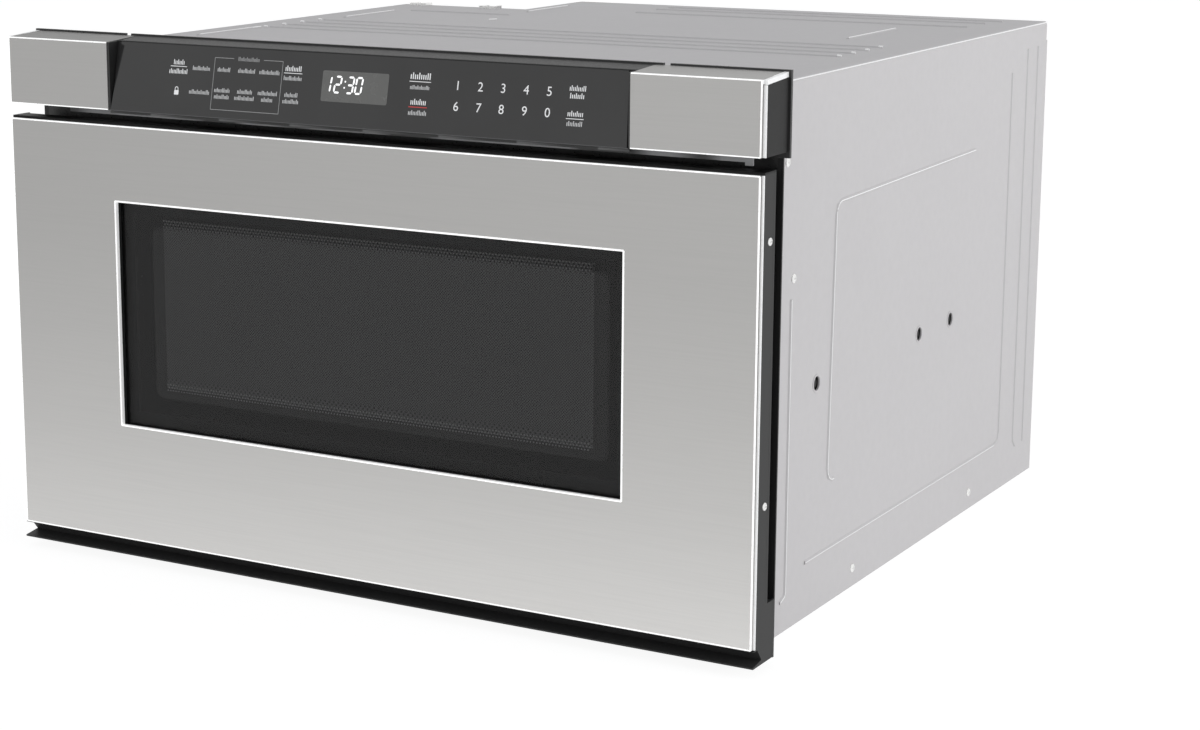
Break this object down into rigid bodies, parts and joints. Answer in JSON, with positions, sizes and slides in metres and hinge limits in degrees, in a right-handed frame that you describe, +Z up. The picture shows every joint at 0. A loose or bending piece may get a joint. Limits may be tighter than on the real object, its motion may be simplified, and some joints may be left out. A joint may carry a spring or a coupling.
{
  "type": "microwave drawer",
  "caption": "Built-in microwave drawer: brushed stainless front with a dark window, leaning touch panel, sheet-steel casing, and a powered drawer on telescoping slides.",
  "frame": {"origin": "middle of the overall box, on the underside of the casing", "axes": "+X to the right seen from the front, +Y to the rear, +Z up"},
  "size_m": [0.6, 0.5954, 0.3826],
  "materials": {
    "stainless_brushed": "fine horizontal brushing",
    "galvanised_sheet": "satin zinc coat",
    "aluminised_sheet": "satin",
    "black_painted_steel": "satin black",
    "black_moulding": "fine grain",
    "dark_touch_glass": "gloss, printed black behind",
    "dark_window_glass": "gloss, tinted",
    "clear_glass": "gloss",
    "display_film": "gloss",
    "circuit_board": "solder resist",
    "zinc_screws": "bright zinc",
    "zinc_rail": "bright zinc",
    "bearing_steel": "polished",
    "acetal_white": "moulded",
    "acetal_grey": "moulded",
    "motor_can": "satin",
    "enamel_grey": "semi-gloss enamel",
    "mica_sheet": "matt",
    "laminated_core": "varnished",
    "aluminium_can": "satin",
    "white_ceramic": "glazed"
  },
  "bodies": {
    "chassis": {"outer_wrap": "galvanised_sheet", "base_plate": "galvanised_sheet", "back_panel": "galvanised_sheet", "front_plate": "black_painted_steel", "body_screws": "zinc_screws", "recess_tabs": "galvanised_sheet", "control_housing": "black_moulding", "touch_glass": "dark_touch_glass", "wing_trim_right": "stainless_brushed", "wing_trim_left": "stainless_brushed", "display_module": "display_film", "control_board": "circuit_board", "rails_outer": "zinc_rail", "rail_brackets": "galvanised_sheet", "rail_screws": "zinc_screws", "shaft_bearings": "acetal_white", "gearbox": "acetal_grey", "drive_motor": "motor_can", "cavity_liner": "enamel_grey", "liner_stand": "galvanised_sheet", "waveguide": "aluminised_sheet", "waveguide_cover": "mica_sheet", "stirrer_motor": "motor_can", "magnetron": "aluminised_sheet", "hv_transformer": "laminated_core", "hv_capacitor": "aluminium_can", "noise_filter_board": "circuit_board", "fan_housing": "black_moulding", "fan_motor": "motor_can", "air_duct": "black_moulding", "cavity_lamp": "aluminised_sheet", "switch_brackets": "galvanised_sheet", "interlock_switches": "black_moulding", "thermal_cutout": "aluminium_can", "cord_gland": "black_moulding"},
    "drawer": {"drawer_skin": "stainless_brushed", "window_glass": "dark_window_glass", "drawer_frame": "black_moulding", "door_panel": "black_painted_steel", "choke_cover": "black_moulding", "inner_glass": "clear_glass", "frame_screws": "zinc_screws", "drawer_tub": "enamel_grey", "ceramic_tray": "white_ceramic", "latch_hooks": "acetal_white", "rails_inner": "zinc_rail", "rail_arms": "galvanised_sheet", "rack_right": "acetal_white", "rack_left": "acetal_white"},
    "middle_right": {"rail_middle_right": "zinc_rail", "rail_cages_right": "bearing_steel"},
    "middle_left": {"rail_middle_left": "zinc_rail", "rail_cages_left": "bearing_steel"},
    "drive_shaft": {"cross_shaft": "bearing_steel", "pinions": "acetal_white", "drive_gear": "acetal_grey"},
    "motor_output": {"motor_gear": "acetal_grey"},
    "fan": {"fan_rotor": "black_moulding"},
    "stirrer": {"stirrer_blade": "aluminium_can"}
  },
  "joints": [
    {"name": "drawer_slide", "type": "slide", "parent": "chassis", "child": "drawer", "axis": [0, -1, 0], "range_m": [0, 0.381]},
    {"name": "middle_rail_slide_right", "type": "slide", "parent": "chassis", "child": "middle_right", "axis": [0, -1, 0], "range_m": [0, 0.1905]},
    {"name": "middle_rail_slide_left", "type": "slide", "parent": "chassis", "child": "middle_left", "axis": [0, -1, 0], "range_m": [0, 0.1905]},
    {"name": "drive_shaft_turn", "type": "hinge", "parent": "chassis", "child": "drive_shaft", "pos_m": [0, -0.22265, 0.03], "axis": [1, 0, 0], "range_deg": [0, 1040]},
    {"name": "motor_output_turn", "type": "hinge", "parent": "chassis", "child": "motor_output", "pos_m": [-0.058, -0.18065, 0.03], "axis": [1, 0, 0], "range_deg": [-1387, 0]},
    {"name": "fan_spin", "type": "hinge", "parent": "chassis", "child": "fan", "pos_m": [0.135, 0.27035, 0.25], "axis": [0, 1, 0], "continuous": true},
    {"name": "stirrer_spin", "type": "hinge", "parent": "chassis", "child": "stirrer", "pos_m": [0, -0.02765, 0.283], "axis": [0, 0, 1], "continuous": true}
  ],
  "couplings": [
    {"joint": "middle_rail_slide_right", "follows": "drawer_slide", "ratio": 0.5},
    {"joint": "middle_rail_slide_left", "follows": "drawer_slide", "ratio": 0.5},
    {"joint": "drive_shaft_turn", "follows": "drawer_slide", "rad_per_m": 47.619},
    {"joint": "motor_output_turn", "follows": "drawer_slide", "rad_per_m": -63.492}
  ]
}
